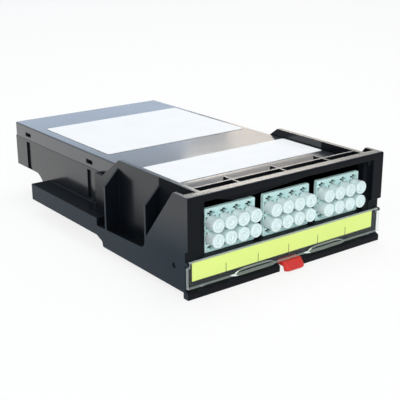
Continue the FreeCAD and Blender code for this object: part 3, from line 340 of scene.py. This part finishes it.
def clear_cover(foot):
    """Clear acrylic: a window with a slanting gloss, and edges that glow a little by emission, a
    painted light.

    Each finger bar has a painted glint near its left end: a glow in the material, not a reflection.
    """
    glint_aside, glint_core, glint_end = 10 * MM, 0.7 * MM, 2.1 * MM
    finish = Finish("cover_clear", Specular_IOR_Level=0.6, Emission_Strength=1.0)
    scuffs = finish.noise(1.4 * MM, 6.0, stretch=(4, 1, 1))
    slant = finish.add("ShaderNodeLayerWeight", inputs={"Blend": 0.5}, output="Facing")
    edges = finish.spread(abs(finish.facing("Y")), 0.5, 0.9, 1.0, 0.0)
    rim = edges * 0.45 + finish.corners() * 0.55
    along = finish.axis("X")
    # Painted highlight: a glow near the left end of each finger bar.
    left_painted_glint, right_painted_glint = [
        finish.spread(abs(along - bar + glint_aside), glint_core, glint_end, 1.0, 0.0)
        for bar in (-BAR_MIDDLE, BAR_MIDDLE)]
    on_bars = finish.axis("Z") < foot + BAR_HEIGHT
    painted_glint = left_painted_glint.most(right_painted_glint) * on_bars * edges.most(rim)
    # Painted light: the cover's edges glow by emission.
    painted_rim_glow = finish.blend(rim, (0, 0, 0, 1), (0.17, 0.21, 0.20, 1))
    finish.set(Base_Color=finish.blend(rim, (0.9, 0.95, 0.94, 1), (0.72, 0.80, 0.79, 1)),
               Emission_Color=finish.blend(painted_glint, painted_rim_glow, (0.46, 0.51, 0.50, 1)),
               Roughness=0.06 + scuffs * 0.08)
    finish.bump(scuffs, 0.003 * MM, 0.4)
    window = finish.add("ShaderNodeBsdfTransparent", inputs={"Color": (0.985, 0.996, 0.992, 1)})
    shown = ((slant ** 4) * 0.5 + 0.018 + rim * 0.55).most(painted_glint * 0.85)
    finish.mix_shaders(shown, window, finish.surface)
    return finish.material


def studio_floor():
    """A pale floor that shows as white where it is lit and keeps the cassette's shadow."""
    finish = Finish("studio_floor", Roughness=0.7, Specular_IOR_Level=0.2)
    clouds = finish.noise(0.4, 2.0)
    finish.set(Base_Color=finish.blend(clouds, (0.92, 0.92, 0.92, 1), (0.94, 0.94, 0.94, 1)))
    glow = finish.add("ShaderNodeEmission", inputs={"Color": (1, 1, 1, 1), "Strength": 1.0})
    whitened = finish.seen("Camera", "Glossy", "Transmission") * 0.82
    finish.mix_shaders(whitened, finish.surface, glow)
    return finish.material


# ---------------------------------------------------------------- meshes

def merged(node):
    """A copy of a CAD node's mesh with its triangles joined up and its flat faces whole."""
    shape = bmesh.new()
    shape.from_mesh(NODES[node].data)
    bmesh.ops.remove_doubles(shape, verts=shape.verts, dist=0.002 * MM)
    bmesh.ops.dissolve_limit(shape, angle_limit=math.radians(0.5), verts=shape.verts,
                             edges=shape.edges)
    return shape


def crisp(shape, width, turn=35, segments=2):
    """Round off a little each edge that turns by more than an angle, as a mould leaves it."""
    sharp = [edge for edge in shape.edges
             if edge.is_manifold and edge.calc_face_angle(0) > math.radians(turn)]
    bmesh.ops.bevel(shape, geom=sharp, offset=width, affect="EDGES", segments=segments, profile=0.5,
                    clamp_overlap=False, material=-1)
    return shape


def slab(low, high):
    """A box between two corners."""
    shape = bmesh.new()
    place = Matrix.Translation((low + high) / 2) @ Matrix.Diagonal((*(high - low), 1))
    bmesh.ops.create_cube(shape, size=1.0, matrix=place)
    return shape


def cut_across(shape, direction, places):
    """Cut a mesh across an axis at some places, so that it can bend there."""
    for place in places:
        bmesh.ops.bisect_plane(shape, geom=shape.verts[:] + shape.edges[:] + shape.faces[:],
                               dist=0.0005 * MM, plane_co=direction * place, plane_no=direction)


def turning(profile):
    """A solid turned about the Y axis, from points of radius and distance in millimetres."""
    shape = bmesh.new()
    points = [shape.verts.new((radius * MM, along * MM, 0)) for radius, along in profile]
    lines = [shape.edges.new(ends) for ends in zip(points, points[1:])]
    bmesh.ops.spin(shape, geom=points + lines, cent=(0, 0, 0), axis=BACK, angle=2 * math.pi,
                   steps=40, use_merge=True)
    bmesh.ops.remove_doubles(shape, verts=shape.verts, dist=0.001 * MM)
    bmesh.ops.recalc_face_normals(shape, faces=shape.faces)
    return shape


def mesh_of(name, shape):
    """A mesh made of a shape, which is used up."""
    mesh = bpy.data.meshes.new(name)
    shape.to_mesh(mesh)
    shape.free()
    return mesh


def take_in(shape, mesh):
    """Add a mesh to a shape, then delete the mesh."""
    shape.from_mesh(mesh)
    bpy.data.meshes.remove(mesh)


def in_scene(name, data):
    """A new object in the scene."""
    item = bpy.data.objects.new(name, data)
    bpy.context.scene.collection.objects.link(item)
    return item


def piece(node, name, shape, finish, sharp=40):
    """A finished piece made of a shape in place, which stands for a CAD node."""
    mesh = mesh_of(name, shape)
    mesh.materials.append(finish)
    mesh.shade_smooth()
    mesh.set_sharp_from_angle(angle=math.radians(sharp))
    item = in_scene(name, mesh)
    even = item.modifiers.new("even_faces", "WEIGHTED_NORMAL")
    even.keep_sharp = True
    even.weight = 80
    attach(item, BODY_OF[node])
    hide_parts(node)


def dressed(node, name, finish, width):
    """A CAD node again with softened edges, in its place."""
    piece(node, name, crisp(merged(node), width), finish)


# ---------------------------------------------------------------- pieces

def label(node, name, finish):
    """A stuck-on paper label with round corners."""
    low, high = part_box(node)
    shape = slab(low, high)
    upright = [edge for edge in shape.edges
               if abs((edge.verts[0].co - edge.verts[1].co).z) > 0.01 * MM]
    bmesh.ops.bevel(shape, geom=upright, offset=1.4 * MM, affect="EDGES", segments=6, profile=0.5,
                    material=-1)
    crisp(shape, 0.04 * MM, 50, 1)
    piece(node, name, shape, finish)


def dust_caps(finish):
    """A turned cap for each port: round head with a ring and an eye, on a hollow shank."""
    low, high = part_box("dust_cap_upper_01")
    face = (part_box("lc_adapter_left_upper")[0].y - low.y) / MM
    end = (high.y - low.y) / MM
    radius = (high.x - low.x) / 2 / MM
    waist, shank_radius, bore_radius = radius - 0.1, 2.25, 1.95
    rim = 0.35
    eye = [(0, 0.95), (0.35, 0.95), (0.62, 0.3), (0.74, 0.22)]
    ring = [(1.50, 0.16), (1.58, 0.22), (1.66, 0.48), (1.82, 0.48), (1.90, 0.12), (1.98, 0.0)]
    head = [(radius - rim, 0), (radius - 0.6 * rim, 0.07), (radius - 0.12 * rim, 0.6 * rim),
            (radius, rim), (radius, 1.3), (waist, 1.5), (waist, face - 0.8),
            (radius, face - 0.6), (radius, face - 0.1), (waist, face)]
    shank = [(shank_radius, face), (shank_radius, end - 0.25), (shank_radius - 0.15, end)]
    bore = [(bore_radius, end), (bore_radius, face + 0.4), (0, face + 0.4)]
    for row in ("upper", "lower"):
        for port in range(1, 13):
            node = f"dust_cap_{row}_{port:02d}"
            low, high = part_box(node)
            shape = turning(eye + ring + head + shank + bore)
            shape.transform(Matrix.Translation(((low.x + high.x) / 2, low.y, (low.z + high.z) / 2)))
            piece(node, f"cap_{row}_{port:02d}", shape, finish, sharp=50)


def clear_flap(finish):
    """The hinged cover, with its two finger bars drawn in to a lens at their ends."""
    node = "label_cover"
    low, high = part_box(node)
    shape = merged(node)
    shares = (-0.97, -0.9, -0.8, -0.65, -0.45, 0, 0.45, 0.65, 0.8, 0.9, 0.97)
    cut_across(shape, ACROSS, [side * (BAR_MIDDLE + share * BAR_HALF)
                               for side in (-1, 1) for share in shares])
    wall, slack = 1.5 * MM, 0.1 * MM
    plate, bar_top = high.y - wall, low.z + BAR_HEIGHT
    for vert in shape.verts:
        away = abs(abs(vert.co.x) - BAR_MIDDLE) / BAR_HALF
        if away < 1.01 and vert.co.z < bar_top + slack and vert.co.y < plate + 0.1 * slack:
            swell = max(0.16, (1 - min(1.0, away) ** 5) ** 0.5)
            if vert.co.y < plate - slack:
                vert.co.y = plate + (vert.co.y - plate) * swell
            if vert.co.z > bar_top - slack:
                vert.co.z = low.z + (vert.co.z - low.z) * swell
    crisp(shape, 0.2 * MM, 40)
    piece(node, "label_flap", shape, finish)


def lever(finish):
    """The release lever, its finger tab rounded in plan and dished for a fingertip."""
    node = "release_lever"
    low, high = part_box(node)
    shape = merged(node)
    edge, round_off, root = high.x, 2.3 * MM, low.y + 3.7 * MM
    dish_x, dish_y, dish_depth = 0.4 * MM, low.y + 1.4 * MM, 0.4 * MM
    dish_across, dish_along = 3.2 * MM, 1.5 * MM
    cut_across(shape, ACROSS, [side * (edge - share * round_off) for side in (-1, 1)
                               for share in (0.06, 0.16, 0.3, 0.5, 0.75, 1.0)])
    cut_across(shape, ACROSS, [index * 0.6 * MM for index in range(-6, 7)])
    cut_across(shape, BACK, [low.y + 0.3 * MM * index for index in range(1, 11)])
    for vert in shape.verts:
        ahead = min(1.0, (root - vert.co.y) / (root - low.y))
        if ahead <= 0:
            continue
        inward = max(0.0, abs(vert.co.x) - (edge - round_off)) / round_off
        vert.co.y += ahead * (1 - (1 - min(1.0, inward) ** 2) ** 0.5) * round_off * 0.9
        dish = ((vert.co.x - dish_x) / dish_across) ** 2 + ((vert.co.y - dish_y) / dish_along) ** 2
        if vert.normal.z > 0.3 and dish < 1:
            vert.co.z -= dish_depth * (1 - dish)
    crisp(shape, 0.16 * MM, 38)
    piece(node, "lever_moulding", shape, finish, sharp=50)


def fibre_ring(finish):
    """The slack fibre as loose turns round both spools, in place of one thick ring."""
    low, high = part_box("fibre_coil")
    turn, thick = (high.y - low.y) / 2, (high.z - low.z) / 2
    middle = (low + high) / 2
    reach = (high.x - low.x) / 2 - turn
    rows, pitch, fibre_radius = 4, 0.95 * MM, 0.45 * MM
    stray, sway_most = 0.12 * MM, 0.15 * MM
    chance = random.Random(7)
    joined = bmesh.new()
    for strand in range(rows * rows):
        across = (strand % rows - (rows - 1) / 2) * pitch + chance.uniform(-stray, stray)
        lift = (strand // rows - (rows - 1) / 2) * pitch + chance.uniform(-stray, stray)
        radius = turn - thick + across
        bend_radius = radius * 1.04
        places = []
        for side in (-1, 1):
            for step in range(-2, 3):
                bend = step * math.pi / 4.6
                places.append((side * (reach + bend_radius * math.cos(bend)),
                               side * bend_radius * math.sin(bend)))
            places.append((side * reach * 0.4, side * radius))
        curve = bpy.data.curves.new("turn", "CURVE")
        curve.dimensions = "3D"
        curve.bevel_depth = fibre_radius
        curve.bevel_resolution = 1
        curve.resolution_u = 6
        line = curve.splines.new("NURBS")
        line.points.add(len(places) - 1)
        for point, (x, y) in zip(line.points, places):
            sway = chance.uniform(-sway_most, sway_most)
            point.co = (middle.x + x, middle.y + y + sway, middle.z + lift + sway, 1)
        line.use_cyclic_u = True
        line.order_u = 4
        item = bpy.data.objects.new("turn", curve)
        take_in(joined, bpy.data.meshes.new_from_object(item))
        bpy.data.objects.remove(item)
    bmesh.ops.remove_doubles(joined, verts=joined.verts, dist=0.0005 * MM)
    piece("fibre_coil", "fibre_turns", joined, finish, sharp=70)


def rear_caps(finish):
    """Dust caps of the rear ports, with ribs to grip."""
    ribs, rib_half, sunk, proud = 5, 0.45 * MM, 0.35 * MM, 0.18 * MM
    grip_length, end_margin = 2.6 * MM, 0.7 * MM
    for side in ("left", "right"):
        node = f"mpo_dust_cap_{side}"
        low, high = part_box(node)
        shape = crisp(merged(node), 0.5 * MM, 35, 3)
        for step in range(ribs):
            middle = low.x + (high.x - low.x) * (0.2 + 0.15 * step)
            for foot, top in ((low.z - proud, low.z + sunk), (high.z - sunk, high.z + proud)):
                rib = slab(Vector((middle - rib_half, high.y - grip_length, foot)),
                           Vector((middle + rib_half, high.y - end_margin, top)))
                take_in(shape, mesh_of("rib", crisp(rib, 0.12 * MM)))
        piece(node, f"rear_cap_{side}_moulding", shape, finish)


# ---------------------------------------------------------------- camera, lamps, floor

def make_camera():
    """A long lens before the left front corner, looking down over the lid."""
    data = bpy.data.cameras.new("camera")
    data.lens = 78.0
    data.sensor_width = 36.0
    data.clip_start, data.clip_end = 0.02, 30.0
    camera = in_scene("camera", data)
    heading, fall, lean = math.radians(36.82), math.radians(18.65), math.radians(-0.26)
    turn = Matrix.Rotation(-heading, 4, "Z") @ Matrix.Rotation(math.pi / 2 - fall, 4, "X")
    place = CASE_LOW + Vector((-174.8, -241.2, 140.9)) * MM
    camera.matrix_world = Matrix.Translation(place) @ turn @ Matrix.Rotation(lean, 4, "Z")
    bpy.context.scene.camera = camera


def softbox(name, heading, height, away, size, power, colour):
    """A rectangular lamp that faces the cassette.

    Its heading, clockwise from straight behind, and its height are in degrees.
    """
    data = bpy.data.lights.new(name, "AREA")
    data.shape = "RECTANGLE"
    data.size, data.size_y = size
    data.energy = power
    data.color = colour
    lamp = in_scene(name, data)
    around, up = math.radians(heading), math.radians(height)
    lamp.location = (away * math.sin(around) * math.cos(up),
                     away * math.cos(around) * math.cos(up), away * math.sin(up))
    lamp.rotation_euler = (-lamp.location).to_track_quat("-Z", "Y").to_euler()
    lamp.visible_camera = False
    return lamp


def make_light():
    """Big soft boxes before and above, with low panels and a thin strip behind to be mirrored."""
    front = softbox("front_box", -140, 30, 1.3, (1.1, 0.8), 8.6, (1.0, 0.985, 0.96))
    front.visible_glossy = False
    softbox("top_box", 40, 72, 1.1, (0.8, 0.8), 6.6, (1.0, 0.985, 0.955))
    softbox("blue_panel", 20, 12, 1.4, (0.8, 0.28), 0.40, (0.72, 0.92, 1.27))
    softbox("warm_panel", 47, 11.5, 1.4, (0.34, 0.28), 0.29, (1.22, 1.0, 0.78))
    strip = softbox("rail_strip", 43, 20.3, 1.4, (0.32, 0.045), 0.32, (1.1, 1.0, 0.88))
    strip.rotation_euler.rotate_axis("Z", math.radians(-7))


def make_world():
    """A grey sky for light, paler in gloss and through clear plastic, and white to the camera."""
    world = bpy.data.worlds.new("studio")
    world.use_nodes = True
    nodes = Nodes(world.node_tree)
    mirrored = nodes.blend(nodes.seen("Glossy", "Transmission"),
                           (0.34, 0.375, 0.41, 1), (0.50, 0.56, 0.62, 1))
    sky = nodes.blend(nodes.seen("Camera"), mirrored, (1, 1, 1, 1))
    nodes.feed(world.node_tree.nodes["Background"], {"Color": sky, "Strength": 1.0})
    bpy.context.scene.world = world


def make_floor():
    """A wide pale floor at the foot of the front lip."""
    shape = bmesh.new()
    bmesh.ops.create_grid(shape, x_segments=1, y_segments=1, size=8.0,
                          matrix=Matrix.Translation((0, 0, CAD_LOW.z)))
    mesh = mesh_of("floor", shape)
    mesh.materials.append(studio_floor())
    in_scene("floor", mesh)


# ---------------------------------------------------------------- build

make_camera()
make_light()
make_world()
make_floor()

BLACK = case_black()
AQUA = moulded("adapter_aqua", (0.68, 0.95, 0.93), 0.34, clouding=0.04, Subsurface_Weight=0.2,
               Subsurface_Radius=(1, 1, 1), Subsurface_Scale=0.6 * MM).material
CAP = moulded("cap_milky", (0.80, 0.94, 0.94), 0.36, grain=0.25 * MM, depth=0.005 * MM,
              clouding=0.025, Subsurface_Weight=0.3, Subsurface_Radius=(1, 1, 1),
              Subsurface_Scale=0.8 * MM).material
RED = moulded("tab_red", (0.74, 0.035, 0.028), 0.33, clouding=0.08, depth=0.006 * MM).material
GREY = moulded("plug_grey", (0.62, 0.75, 0.74), 0.4, clouding=0.05).material
JACKET = moulded("fibre_jacket", (0.10, 0.55, 0.58), 0.32, grain=0.8 * MM, clouding=0.15).material
CERAMIC = moulded("zirconia", (0.88, 0.87, 0.83), 0.16, grain=0.15 * MM, depth=0.002 * MM,
                  clouding=0.02).material
STEEL = drawn_steel()
PAPER = paper()

dressed("cassette_base", "case_moulding", BLACK, 0.15 * MM)
dressed("lid", "lid_moulding", lid_black(), 0.2 * MM)
label("lid_label_rear", "rear_label", PAPER)
label("lid_label_front", "front_label", PAPER)
for column in ("left", "middle", "right"):
    for row in ("upper", "lower"):
        dressed(f"lc_adapter_{column}_{row}", f"adapter_{column}_{row}", AQUA, 0.1 * MM)
dust_caps(CAP)
clear_flap(clear_cover(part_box("label_cover")[0].z))
lever(RED)
fibre_ring(JACKET)
rear_caps(CAP)
for side in ("left", "right"):
    dressed(f"mpo_adapter_{side}", f"rear_adapter_{side}", AQUA, 0.15 * MM)
    dressed(f"mpo_plug_{side}", f"rear_plug_{side}", GREY, 0.15 * MM)
for row in ("upper", "lower"):
    dressed(f"lc_plugs_{row}", f"inner_plugs_{row}", GREY, 0.1 * MM)

# CAD nodes that stay as they are, by the start of their names, get only a finish.
KEPT_FINISHES = {"label_strip": strip_card(*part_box("label_strip")), "lever_pin": STEEL,
                 "lever_spring": STEEL, "fibre": JACKET, "alignment": CERAMIC}
for node, item in NODES.items():
    for start, finish in KEPT_FINISHES.items():
        if node.startswith(start):
            item.data.materials.clear()
            item.data.materials.append(finish)

bpy.context.scene.view_settings.view_transform = "Standard"
